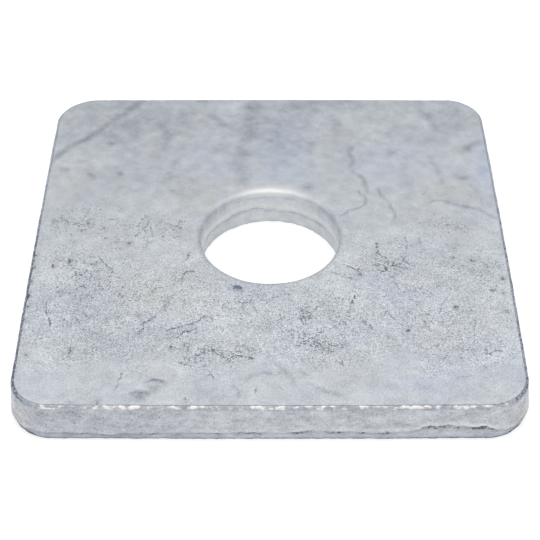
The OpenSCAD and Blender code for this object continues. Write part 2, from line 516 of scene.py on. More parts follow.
@dataclass(frozen=True)
class GalvanisedZinc:
    """Hot-dip galvanised zinc, left as it froze and dulled in the air.

    The eye gets a pale frosted metal without mirror gloss, clouded with bluish and greyish patches, with a
    sandy grain, clusters of dark pits, and beads where the zinc ran thick along the near edge. Glints on the
    beads and sparkles, highlights on the far rim, the lip and the hole's break, and shade along the edges,
    the lip, the foot, the corners and the hole are painted into the colour.
    """

    name: str = "hot_dip_galvanised_zinc"
    pale: str = "#d8dde2"
    dull: str = "#ccd1d7"
    bluish: str = "#ccd2e2"
    warm: str = "#d6d6d1"
    sheared: str = "#babdc3"
    torn: str = "#b2b8c4"
    # The colour of the stains, and of the painted shade along the edges, the lip, the foot and the near
    # corners.
    stain: str = "#414a5d"
    # The colour of painted highlights and glints: on the beads, the sparkles, the lip, the far rim and the
    # break.
    bright: str = "#e9e8e7"
    # The middle of the roughness, how far the mottle moves it, and what matt zinc and a bead add to it.
    roughness: float = 0.5
    rough_spread: float = 0.12
    matt_rough: float = 0.25
    bead_rough: float = -0.2
    # The stains are oxide and dirt, so little of the metal shows there, nor where shade is painted in their
    # colour.
    stain_and_shade_metallic: float = 0.1
    # The grain is finer on the plate, about 0.1 mm, and is drawn this coarse so that it shows.
    grain_size: float = 0.135
    crackle_size: float = 1.15
    # How far the wobble bends the crackle and shakes a crack, in millimetres from one end to the other.
    crackle_bend: float = 1.2
    crack_shake: float = 2.0
    cloud: Pattern = Pattern(9.0, 4.0)
    tint: Pattern = Pattern(8.0, 3.0)
    mottle: Pattern = Pattern(2.0, 5.0, 0.7)
    streak: Pattern = Pattern(1.8, 5.0, 0.7, flat=2.2)
    pits: Pattern = Pattern(0.5, 2.0, 0.6)
    gate: Pattern = Pattern(1.6, 2.0)
    wobble: Pattern = Pattern(1.3, 3.0, 0.65)
    fray: Pattern = Pattern(0.42, 2.0)
    knots: Pattern = Pattern(1.1, 2.0, flat=2.0)
    # How far each noise is moved from the one before it, in millimetres, so that no two run together, and how
    # many such moves the first one makes.
    apart: float = 31.0
    first_move: int = 12
    # What the clouds, the tints and the unevenness of the hues take from their noises.
    cloudy: Ramp = (0.35, 0.65)
    tinted_bluish: Ramp = (0.52, 0.72, 0.0, 0.35)
    tinted_warm: Ramp = (0.48, 0.28, 0.0, 0.18)
    uneven_hue: Ramp = (0.3, 0.7, 1.35, 0.65)
    # How far the mottle, the sheared faces' streaks and the grain lighten or darken the colour.
    mottle_depth: float = 0.16
    streak_depth: float = 0.26
    grain_depth: float = 0.215
    # Which grains and which hollows of the pits' noise get a painted glint.
    sparkling_grain: Ramp = (0.975, 0.985, 0.0, 0.9)
    sparkling_hollow: Ramp = (0.3, 0.25)
    # The share of its width that a crack has along its length, and of that the share that is fully dark.
    crack_width: Ramp = (0.36, 0.64, 0.12, 1.0)
    crack_core: float = 0.3
    # How uneven crowding is. The noise's value at which a pit starts, what crowding adds to it, and how far
    # on the pit is full. The same for the grains that are specks, and how dark those are.
    uneven_crowd: Ramp = (0.38, 0.6, 0.25, 1.2)
    pit_start: float = 0.74
    pit_crowding: float = -0.16
    pit_edge: float = 0.05
    speck_start: float = 1.0
    speck_crowding: float = -0.1
    speck_edge: float = 0.01
    speck_dark: float = 0.9
    # The crackle's lines, where they break, and how they come with crowding.
    crackle_line: Ramp = (0.14, 0.03)
    crackle_break: Ramp = (0.48, 0.58)
    crackle_crowd: Ramp = (0.12, 0.6, 0.0, 0.85)
    # How much the fine noise and the spot itself count in a dull spot or a line of painted shade, its ragged
    # edge, and its soft shade.
    spot_fray: float = 2.4
    spot_reach: float = 1.6
    spot_edge: Ramp = (0.75, 1.3, 0.0, 0.88)
    spot_shade: float = 0.36
    # What beading adds to the knots, the knots that are beads, and where an edge starts to be beaded.
    bead_crowding: float = 0.22
    bead_knots: Ramp = (0.57, 0.7)
    bead_edge: Ramp = (0.0, 0.1)
    # Heights of the relief in millimetres.
    fray_height: float = 0.012
    mottle_height: float = 0.03
    knot_height: float = 0.12
    stain_and_shade_height: float = -0.03

    def noises(self, tree: bpy.types.NodeTree) -> Sockets:
        """Adds a noise for each of the finish's patterns, on Object coordinates.

        Args:
            tree: The material's node tree.

        Returns:
            Each pattern's value from 0 to 1, by its field's name. Three more random values, which change
            from grain to grain, are grain, sparkle and speck. crackle is the distance to the nearest edge
            of an irregular mesh, in mesh widths.
        """
        place = add_node(tree, "ShaderNodeTexCoord", out="Object")
        patterns = [(item.name, getattr(self, item.name)) for item in fields(self) if item.type is Pattern]
        made = {}
        for number, (name, pattern) in enumerate(patterns, self.first_move):
            start = 3 * (number * self.apart * MM,)
            moved = add_node(tree, VECTOR, in_order(place, (1.0, 1.0, pattern.flat), start), **TIMES_PLUS)
            scaled = {"Vector": moved, "Scale": per_metre(pattern.size)}
            busy = {"Detail": pattern.detail, "Roughness": pattern.roughness}
            made[name] = add_node(tree, "ShaderNodeTexNoise", scaled | busy)
        way = made["wobble"].node.outputs["Color"]
        bent = add_node(tree, VECTOR, in_order(way, 3 * (self.crackle_bend * MM,), place), **TIMES_PLUS)
        cells = {"Vector": bent, "Scale": per_metre(self.crackle_size)}
        made["crackle"] = add_node(tree, "ShaderNodeTexVoronoi", cells, feature="DISTANCE_TO_EDGE")
        cells = {"Vector": place, "Scale": per_metre(self.grain_size)}
        cell = add_node(tree, "ShaderNodeTexVoronoi", cells, "Color")
        drawn = add_node(tree, "ShaderNodeSeparateColor", {0: cell}).node.outputs
        return made | dict(zip(("grain", "sparkle", "speck"), drawn))

    def stains_and_shade(self, tree: bpy.types.NodeTree, noise: Sockets, mark: Sockets) -> bpy.types.NodeSocket:
        """Draws the cracks, the pits, the crackle, the dull spots and the painted shade that shares their
        channel.

        Args:
            tree: The material's node tree.
            noise: The finish's noises.
            mark: The mesh's marks.

        Returns:
            How much of the stain and the painted shade shows, from 0 to 1.
        """
        # A crack is where the signed distance, shaken by a noise, is less than its half width, which varies.
        sway = in_order(noise["wobble"], self.crack_shake, -self.crack_shake / 2.0)
        shake = add_node(tree, MATH, sway, **TIMES_PLUS)
        shaken = add_node(tree, MATH, in_order(shake, mark["side"]), **PLUS)
        gap = add_node(tree, MATH, in_order(shaken), operation="ABSOLUTE")
        thick = add_node(tree, RANGE, in_order(noise["fray"], *self.crack_width))
        half = add_node(tree, MATH, in_order(mark["half"], thick), **TIMES)
        core = add_node(tree, MATH, in_order(half, self.crack_core), **TIMES)
        line = add_node(tree, RANGE, in_order(gap, half, core), **SMOOTH)
        line = add_node(tree, MATH, in_order(line, mark["dark"]), **TIMES)

        # Pits are the peaks of a noise, and specks some of the grains. Crowding lets more of them in.
        uneven = add_node(tree, RANGE, in_order(noise["gate"], *self.uneven_crowd))
        crowd = add_node(tree, MATH, in_order(mark["crowd"], uneven), **TIMES)
        start = add_node(tree, MATH, in_order(crowd, self.pit_crowding, self.pit_start), **TIMES_PLUS)
        full = add_node(tree, MATH, in_order(start, self.pit_edge), **PLUS)
        pit = add_node(tree, RANGE, in_order(noise["pits"], start, full), **SMOOTH)
        start = add_node(tree, MATH, in_order(crowd, self.speck_crowding, self.speck_start), **TIMES_PLUS)
        full = add_node(tree, MATH, in_order(start, self.speck_edge), **PLUS)
        speck = add_node(tree, RANGE, in_order(noise["speck"], start, full, 0.0, self.speck_dark))

        # The crackle follows the edges of the mesh in broken stretches, where pits crowd.
        mesh = add_node(tree, RANGE, in_order(noise["crackle"], *self.crackle_line), **SMOOTH)
        broken = add_node(tree, RANGE, in_order(noise["fray"], *self.crackle_break), **SMOOTH)
        mesh = add_node(tree, MATH, in_order(mesh, broken), **TIMES)
        crowded = add_node(tree, RANGE, in_order(crowd, *self.crackle_crowd))
        mesh = add_node(tree, MATH, in_order(mesh, crowded), **TIMES)

        # A dull spot, or a line of painted shade, is dark where a fine noise lets it, and a soft shade
        # between.
        sway = in_order(noise["fray"], self.spot_fray, -self.spot_fray / 2.0)
        ragged = add_node(tree, MATH, sway, **TIMES_PLUS)
        ragged = add_node(tree, MATH, in_order(mark["blot"], self.spot_reach, ragged), **TIMES_PLUS)
        ragged = add_node(tree, RANGE, in_order(ragged, *self.spot_edge), **SMOOTH)
        shade = add_node(tree, MATH, in_order(mark["blot"], self.spot_shade), **TIMES)

        total = line
        for stain in (pit, speck, mesh, ragged, shade):
            total = add_node(tree, MATH, in_order(total, stain), **MOST)
        return total

    def colour(self, tree: bpy.types.NodeTree, noise: Sockets, mark: Sockets) -> bpy.types.NodeSocket:
        """Lays the clouds, the tints, the mottle, the grain, the painted highlights and the stains and
        painted shade over each other.

        Args:
            tree: The material's node tree.
            noise: The finish's noises.
            mark: The mesh's marks, with the beads, and the stain and painted shade.

        Returns:
            The surface's colour.
        """
        part = add_node(tree, RANGE, in_order(noise["cloud"], *self.cloudy))
        seen = add_node(tree, MIX, {0: part, 6: linear(self.dull), 7: linear(self.pale)}, 2, **OVER)
        layers = []
        for code, ramp in ((self.bluish, self.tinted_bluish), (self.warm, self.tinted_warm)):
            layers.append((add_node(tree, RANGE, in_order(noise["tint"], *ramp)), code))
        layers += [(mark["sheared"], self.sheared), (mark["torn"], self.torn)]
        # The mottle makes the patches of hue uneven.
        uneven = add_node(tree, RANGE, in_order(noise["mottle"], *self.uneven_hue))
        for hue, name in zip(Tone, MARKS["tone"]):
            layers.append((add_node(tree, MATH, in_order(mark[name], uneven), **TIMES), hue.value))
        for part, code in layers:
            seen = add_node(tree, MIX, {0: part, 6: seen, 7: linear(code)}, 2, **OVER)
        seen = add_node(tree, MIX, {0: self.mottle_depth, 6: seen, 7: noise["mottle"]}, 2, **RAISE)
        for name, depth, pattern in (
            ("sheared", self.streak_depth, "streak"),
            ("grain", self.grain_depth, "grain"),
        ):
            part = add_node(tree, MATH, in_order(mark[name], depth), **TIMES)
            seen = add_node(tree, MIX, {0: part, 6: seen, 7: noise[pattern]}, 2, **RAISE)
        # Sparkles are painted glints: some of the grains, and the deepest hollows of the noise whose peaks
        # are the pits.
        part = add_node(tree, RANGE, in_order(noise["sparkle"], *self.sparkling_grain))
        spark = add_node(tree, RANGE, in_order(noise["pits"], *self.sparkling_hollow))
        part = add_node(tree, MATH, in_order(part, spark), **MOST)
        part = add_node(tree, MATH, in_order(part, mark["grain"]), **TIMES)
        # The beads' glints and the painted highlights take the bright colour too.
        for lit in (mark["bead"], mark["light"]):
            part = add_node(tree, MATH, in_order(part, lit), **MOST)
        for part, code in ((part, self.bright), (mark["stain"], self.stain)):
            seen = add_node(tree, MIX, {0: part, 6: seen, 7: linear(code)}, 2, **OVER)
        return seen

    def material(self) -> bpy.types.Material:
        """Builds the finish as a node tree on Object coordinates and the mesh's own marks.

        Returns:
            The new material.
        """
        made = bpy.data.materials.new(self.name)
        made.use_nodes = True
        tree = made.node_tree
        shader = tree.nodes["Principled BSDF"].inputs
        noise = self.noises(tree)
        mark: Sockets = {}
        for name, parts in MARKS.items():
            carried = add_node(tree, "ShaderNodeAttribute", out="Vector", attribute_name=name)
            mark |= zip(parts, add_node(tree, SPLIT, in_order(carried)).node.outputs)
        # Beads are the knots that stand out, the more of them the more the edge is beaded. They are smoother,
        # and their brightness is a painted glint.
        raised = in_order(mark["beaded"], self.bead_crowding, noise["knots"])
        bead = add_node(tree, MATH, raised, **TIMES_PLUS)
        bead = add_node(tree, RANGE, in_order(bead, *self.bead_knots))
        edge = add_node(tree, RANGE, in_order(mark["beaded"], *self.bead_edge))
        mark["bead"] = add_node(tree, MATH, in_order(bead, edge), **TIMES)
        mark["stain"] = self.stains_and_shade(tree, noise, mark)
        tree.links.new(self.colour(tree, noise, mark), shader["Base Color"])
        bare = add_node(tree, RANGE, {0: mark["stain"], 3: 1.0, 4: self.stain_and_shade_metallic})
        tree.links.new(bare, shader["Metallic"])

        # The mottle's hollows and the drawn edges are rougher, and the beads are smoother.
        low, high = self.roughness - self.rough_spread, self.roughness + self.rough_spread
        rough = add_node(tree, RANGE, {0: noise["mottle"], 3: low, 4: high})
        for name, more in (("matt", self.matt_rough), ("bead", self.bead_rough)):
            rough = add_node(tree, MATH, in_order(mark[name], more, rough), **TIMES_PLUS)
        tree.links.new(rough, shader["Roughness"])

        # The relief: the fine noise, the mottle, the knots of a sheared face and the sunken stains and
        # painted shade.
        knots = add_node(tree, MATH, in_order(noise["knots"], noise["streak"]), **PLUS)
        knots = add_node(tree, MATH, in_order(knots, mark["sheared"]), **TIMES)
        rise = add_node(tree, MATH, in_order(noise["fray"], self.fray_height), **TIMES)
        for part, height in (
            (noise["mottle"], self.mottle_height),
            (knots, self.knot_height),
            (mark["stain"], self.stain_and_shade_height),
        ):
            rise = add_node(tree, MATH, in_order(part, height, rise), **TIMES_PLUS)
        bump = add_node(tree, "ShaderNodeBump", {"Height": rise, "Distance": MM})
        tree.links.new(bump, shader["Normal"])
        return made


class Band(Enum):
    """The stretches of the plate's closed section, in the order of its rows."""

    TOP = "top face"
    EDGE = "rolled top edge"
    SIDE = "sheared outer side"
    TORN = "torn outer band"
    UNDER = "underside"
    CONE = "torn part of the hole"
    WALL = "sheared part of the hole"
    RIM = "rolled rim of the hole"


@dataclass(frozen=True)
class Ring:
    """One row of the surface: a closed line round the hole.

    Its points lie a share of the way across, from a circle of a radius about the hole's axis to the outline
    at a reach from its feet, and at a height above the underside.
    """

    across: float
    radius: Level
    reach: Level
    height: Level


# How many rows the even stretch of each band has, counting both its ends.
ROW_COUNTS: dict[Band, int] = {
    Band.TOP: 76,
    Band.EDGE: 9,
    Band.SIDE: 14,
    Band.TORN: 6,
    Band.UNDER: 14,
    Band.CONE: 8,
    Band.WALL: 10,
    Band.RIM: 11,
}

# How the tear and the break line in the hole wander up and down, and where the grain starts and ends.
TEAR = (Swell(9.0, 0.14, 3), Swell(2.5, 0.07, 4), Swell(1.0, 0.05, 7))
SEAM = (Swell(8.0, 0.12, 5), Swell(2.0, 0.05, 6))
GRAIN_ENDS = Swell(7.0, 1.6, 21)

# How the lines along the lip, the left edge and the near edge come and go.
LIP_LINE = Swell(3.0, 0.28, 22)
LEFT_LINE = Swell(1.6, 0.6, 23)
NEAR_LINE = Swell(2.2, 0.35, 24)

# The slow swell of the whole coat, and the lumps of each band over it.
COAT = (Swell(7.0, 0.012, 11), Swell(2.4, 0.006, 12))
LUMPS: dict[Band, tuple[Swell, ...]] = {
    Band.EDGE: (Swell(1.3, 0.012, 13),),
    Band.SIDE: (Swell(2.4, 0.02, 14), Swell(1.1, 0.01, 17)),
    Band.TORN: (Swell(1.2, 0.02, 15),),
    Band.CONE: (Swell(1.4, 0.02, 16),),
}

# Rows of the torn band: under the lip, the same round a corner, and along the foot.
LIP_ROWS = slice(1, 4)
CORNER_ROWS = slice(0, 3)
FOOT_ROWS = slice(-5, None)
# Rows of the hole's wall just above the break, and how many rows a line of painted shade in the hole takes.
BREAK_ROWS = slice(1, 5)
LINE_ROWS = 2

# What shows the same all over a band.
EVEN: dict[tuple[Band, str], float] = {
    (Band.EDGE, "sheared"): 1.0,
    (Band.EDGE, "matt"): 0.8,
    (Band.SIDE, "sheared"): 1.0,
    (Band.SIDE, "crowd"): 0.14,
    (Band.SIDE, "grain"): 0.38,
    (Band.TORN, "sheared"): 1.0,
    (Band.TORN, "grain"): 0.25,
    (Band.CONE, "sheared"): 0.4,
    (Band.CONE, "warm"): 0.2,
    (Band.CONE, "dull"): 0.14,
    (Band.WALL, "warm"): 0.2,
    (Band.WALL, "dull"): 0.26,
    (Band.RIM, "matt"): 0.35,
}


@dataclass
class Skin:
    """What the zinc shows at each place of the plate, and the highlights and shade painted on it, band by
    band into the mesh's attributes.

    A value for each step of the outline goes along a row, and a value for each row goes down a column.
    """

    # The plain surface, the rows of each band, the outline, and how far the tear climbed at each step.
    grid: np.ndarray
    rows: dict[Band, slice]
    foot: np.ndarray
    normal: np.ndarray
    climb: np.ndarray
    # The length over which a crack runs out, how far beside it its dark fades, and how pits crowd along it.
    crack_taper: float = 0.5
    crack_fade: Ramp = (0.5, 1.0)
    crack_pits: float = 0.6
    # What counts as near, flank and left, by how far a step faces that way, and how far back along the plate
    # the line on the flanks and on the left reaches.
    near_facing: Ramp = (0.8, 0.97)
    flank_facing: Ramp = (0.3, 0.8)
    flank_back: Ramp = (16.0, -6.0)
    left_facing: Ramp = (0.8, 1.0)
    left_back: Ramp = (12.0, -4.0)
    # How the lines on the near edge, on the left and along the lip come and go, and the least of the last
    # where the tear has climbed.
    near_uneven: Uneven = (0.8, 0.2, 1.2)
    left_uneven: Uneven = (0.5, 0.0, 1.2)
    lip_uneven: Uneven = (0.8, 0.4, 1.25)
    climbed_least: float = 0.85
    # Darkness of the line along the edge: away from the near side, where it is painted shade, more on the
    # flanks and the left, near, and on the three rows of the top face onto which it frays on the left.
    edge_line: float = 0.42
    flank_line: float = 0.2
    left_line: float = 0.12
    near_line: float = 0.44
    left_frays: tuple[float, ...] = (0.25, 0.5, 0.75)
    # Darkness of the painted shade along the foot and of the painted shadow under the lip, and what the lip's
    # climb adds.
    foot_line: float = 0.95
    lip_line: float = 0.55
    climb_line: float = 0.12
    # Heights at which the foot's painted shade and the torn band's colour end.
    foot_top: Ramp = (0.45, 0.15)
    torn_top: Ramp = (1.5, 1.25)
    # Painted shade round the two near corners, on the left and on the right, and where it goes up to the lip,
    # by how far a step faces the side.
    left_corner_shade: float = 1.3
    right_corner_shade: float = 0.9
    corner_shade_facing: Ramp = (0.5, 0.8)
    # Light on the rows above the lip and above the break in the hole, on the far rim and just behind that.
    lip_light: tuple[float, ...] = (0.2, 0.36, 0.36)
    lip_least: float = 0.4
    break_light: tuple[float, ...] = (0.15, 0.32, 0.32, 0.15)
    rim_light: float = 0.85
    behind_light: tuple[float, ...] = (0.9, 0.6, 0.25)
    # Half the width of the bright stretch of the far rim, in millimetres.
    rim_reach: float = 4.5
    # How much of the torn band's colour the climb hides.
    climb_hides: float = 0.7
    # Shares of the hues on the edge, the outer faces and the rim: the cool hue tints the edge's painted
    # shade, and on the corner faces and the rim the dull hue is painted shade.
    edge_cool: float = 0.5
    corner_warm: float = 0.3
    corner_face_shade: float = 0.22
    left_dull: float = 0.26
    rim_shade: float = 0.18
    # Where the near face gets duller towards the left, and where the rim's painted shade starts towards the
    # back.
    left_from: Ramp = (-8.0, -20.0)
    rim_from: Ramp = (-2.0, 6.0)
    # Lines of painted shade in the hole: below the rim, a painted shadow along the break, and along the foot.
    below_rim_shade: float = 0.36
    break_shadow: float = 0.34
    hole_foot_shade: float = 0.35
    # The attributes, how far each step faces the near side, and how much of a millimetre it has climbed.
    marks: dict[str, np.ndarray] = field(init=False)
    near: np.ndarray = field(init=False)
    climbed: np.ndarray = field(init=False)

    def __post_init__(self) -> None:
        """Starts every attribute at nothing, and works out which steps are near and which have climbed."""
        self.marks = {name: np.zeros(self.grid.shape) for name in MARKS}
        self.near = smooth_step(*self.near_facing, -self.normal[:, 1])
        self.climbed = np.minimum(self.climb, 1.0)

    def at(self, band: Band, part: str) -> np.ndarray:
        """Gives a view of one part of the marks over a band, as rows by steps."""
        name = next(name for name, parts in MARKS.items() if part in parts)
        return self.marks[name][self.rows[band], :, MARKS[name].index(part)]

    def cracks(self, x: np.ndarray, y: np.ndarray) -> np.ndarray:
        """Finds the nearest crack of each place on the top face.

        Args:
            x: Places across the plate.
            y: Places along the plate.

        Returns:
            For each place the signed distance, the crack's half width, and its darkness, which fades
            away from it.
        """
        best = np.full(x.shape, np.inf)
        found = np.zeros((*x.shape, 3))
        start, gone = self.crack_fade
        for crack in CRACKS:
            half = crack.width / 2.0
            side, dark = crack.measure(x, y, self.crack_taper)
            near = 1.0 - smooth_step(half + start, half + gone, np.abs(side))
            here = np.stack([side, np.full(x.shape, half), dark * near], axis=-1)
            found = np.where((np.abs(side) < best)[..., None], here, found)
            best = np.minimum(np.abs(side), best)
        return found

    def folds(self, x: np.ndarray, y: np.ndarray) -> np.ndarray:
        """Gives the shade of the folds: most along the fold, and none at half its width.

        Args:
            x: Places across the plate.
            y: Places along the plate.

        Returns:
            One share for each place.
        """
        shade = np.zeros(x.shape)
        for fold in FOLDS:
            side, dark = fold.measure(x, y, fold.width)
            shade = np.maximum(shade, dark * (1.0 - smooth_step(0.0, fold.width / 2.0, np.abs(side))))
        return shade

    def paint_all(self) -> None:
        """Lays the grain on the whole plate, and then what shows the same all over a band."""
        along = self.grid[..., 1] + GRAIN_ENDS.at(self.grid)
        self.marks["skin"][..., 2] = np.interp(along, GRAIN_PLACES, GRAIN_SHARES)
        # Away from the top face a crack's half width only has to be more than nothing.
        self.marks["crack"][..., 1] = self.crack_taper
        for (band, part), share in EVEN.items():
            self.at(band, part)[:] = share

    def paint_top(self) -> None:
        """Lays the cracks, the pits, the spots and the hues on the top face."""
        x, y, _ = np.moveaxis(self.grid[self.rows[Band.TOP]], 2, 0)
        self.marks["crack"][self.rows[Band.TOP]] = self.cracks(x, y)
        away = self.at(Band.TOP, "side") / self.crack_taper
        beside = self.crack_pits * self.at(Band.TOP, "dark") * np.exp(-(away**2))
        patches = [patch.weight(x, y) for patch in PIT_PATCHES]
        self.at(Band.TOP, "crowd")[:] = np.max([beside, *patches], axis=0)
        self.at(Band.TOP, "blot")[:] = np.max([blot.weight(x, y) for blot in BLOTS], axis=0)
        for hue, name in zip(Tone, MARKS["tone"]):
            self.at(Band.TOP, name)[:] = np.max([spot.weight(x, y) for spot in TONES[hue]], axis=0)
        dull = self.at(Band.TOP, "dull")
        dull[:] = 1.0 - (1.0 - dull) * (1.0 - self.folds(x, y))

    def paint_edge(self) -> None:
        """Draws the edge's dark line, painted shade away from the near side and thin and broken on it, and
        the beads.
        """
        blot, face = self.at(Band.EDGE, "blot"), self.at(Band.TOP, "blot")
        edge, top = self.grid[self.rows[Band.EDGE]], self.grid[self.rows[Band.TOP]]
        sideways, y = self.normal[:, 0], self.foot[:, 1]
        flank = smooth_step(*self.flank_facing, np.abs(sideways)) * smooth_step(*self.flank_back, y)
        blot[:] = (self.edge_line + self.flank_line * flank) * (1.0 - self.near)
        thin = self.near_line * self.near * NEAR_LINE.share(edge[0], *self.near_uneven)
        blot[0] += thin
        face[-1] = np.maximum(face[-1], thin)
        # On the left side the painted shade frays onto the face.
        left = smooth_step(*self.left_facing, -sideways) * smooth_step(*self.left_back, y)
        deep = len(self.left_frays)
        frayed = LEFT_LINE.share(top[-deep:], *self.left_uneven) * left * np.array(self.left_frays)[:, None]
        face[-deep:] = np.maximum(face[-deep:], frayed)
        blot += self.left_line * left
        # The cool hue tints the painted shade away from the near side.
        self.at(Band.EDGE, "cool")[:] = self.edge_cool * (1.0 - self.near)
        # The beads, with their painted glints, sit on the middle of the roll.
        middle = np.sin(np.linspace(0.0, np.pi, len(blot) + 1)[1:])[:, None]
        beads = np.interp(edge[..., 0], BEAD_PLACES, BEAD_SHARES)
        self.at(Band.EDGE, "beaded")[:] = beads * middle * self.near

    def paint_side(self) -> None:
        """Draws the lip and the foot, and paints shade on the outer faces.

        The lip has a painted highlight above it and a broken painted shadow under it, and the foot a line of
        painted shade. The corners' faces are warmer and carry painted shade, strongest at their foot, and the
        left of the near face is duller.
        """
        side, torn = self.at(Band.SIDE, "blot"), self.at(Band.TORN, "blot")
        height = self.grid[self.rows[Band.TORN]][..., 2]
        middle, least, most = self.lip_uneven
        least = np.maximum(self.climbed_least * self.climbed, least)
        broken = LIP_LINE.share(self.grid[self.rows[Band.SIDE]][-1], middle, least, most)
        # Painted shade along the foot.
        torn[:] = self.foot_line * smooth_step(*self.foot_top, height)
        # The lip hides what lies just under it, so its painted shadow reaches further down.
        torn[LIP_ROWS] = (self.lip_line + self.climb_line * self.climbed) * broken
        # A painted highlight on the rows above the lip.
        light = np.array(self.lip_light)[:, None] * (self.lip_least + self.climbed) * broken
        self.at(Band.SIDE, "light")[-len(light) :] = light
        bare = 1.0 - self.climb_hides * self.climbed
        self.at(Band.TORN, "torn")[:] = smooth_step(*self.torn_top, height) * bare

        x, (across, along) = self.foot[:, 0], self.normal.T
        # The square of the sine of twice the heading: 1 in the middle of a corner, and 0 along a side.
        corner = 4.0 * (across * along) ** 2
        # Painted shade round the near corners, up their flanks to the lip and along their foot.
        corner_shade = np.where(x < 0.0, self.left_corner_shade, self.right_corner_shade) * corner * (along < 0.0)
        flank = corner_shade * smooth_step(*self.corner_shade_facing, np.abs(across))
        side[-1] = flank
        torn[CORNER_ROWS] = np.maximum(torn[CORNER_ROWS], flank)
        torn[FOOT_ROWS] = np.maximum(torn[FOOT_ROWS], corner_shade)
        # The corners' faces are warmer and get painted shade; the left of the near face is duller.
        left = self.near * smooth_step(*self.left_from, x)
        for band in (Band.SIDE, Band.TORN):
            self.at(band, "warm")[:] = self.corner_warm * corner
            self.at(band, "dull")[:] = self.left_dull * left + self.corner_face_shade * corner

    def paint_hole(self) -> None:
        """Paints highlights on the far rim and above the break, and painted shade on the rim and in the hole.
        """
        x, y, _ = self.grid[0].T
        # A painted highlight on the far rim and on the face just behind it, and painted shade on the rest of
        # the rim towards the back.
        far = np.exp(-((x / self.rim_reach) ** 2)) * (y > 0.0)
        self.at(Band.RIM, "light")[:] = self.rim_light * far
        self.at(Band.RIM, "dull")[:] = self.rim_shade * (1.0 - far) * smooth_step(*self.rim_from, y)
        behind = np.array(self.behind_light)[:, None] * far
        self.at(Band.TOP, "light")[: len(behind)] = behind
        # A painted highlight on the wall just above the break.
        self.at(Band.WALL, "light")[BREAK_ROWS] = np.array(self.break_light)[:, None]
        # Painted shade just below the rim, a painted shadow along the break, and painted shade along the
        # hole's foot.
        wall, cone = self.at(Band.WALL, "dull"), self.at(Band.CONE, "dull")
        wall[-LINE_ROWS:] = self.below_rim_shade
        wall[0] = cone[-LINE_ROWS:] = self.break_shadow
        cone[:LINE_ROWS] = self.hole_foot_shade


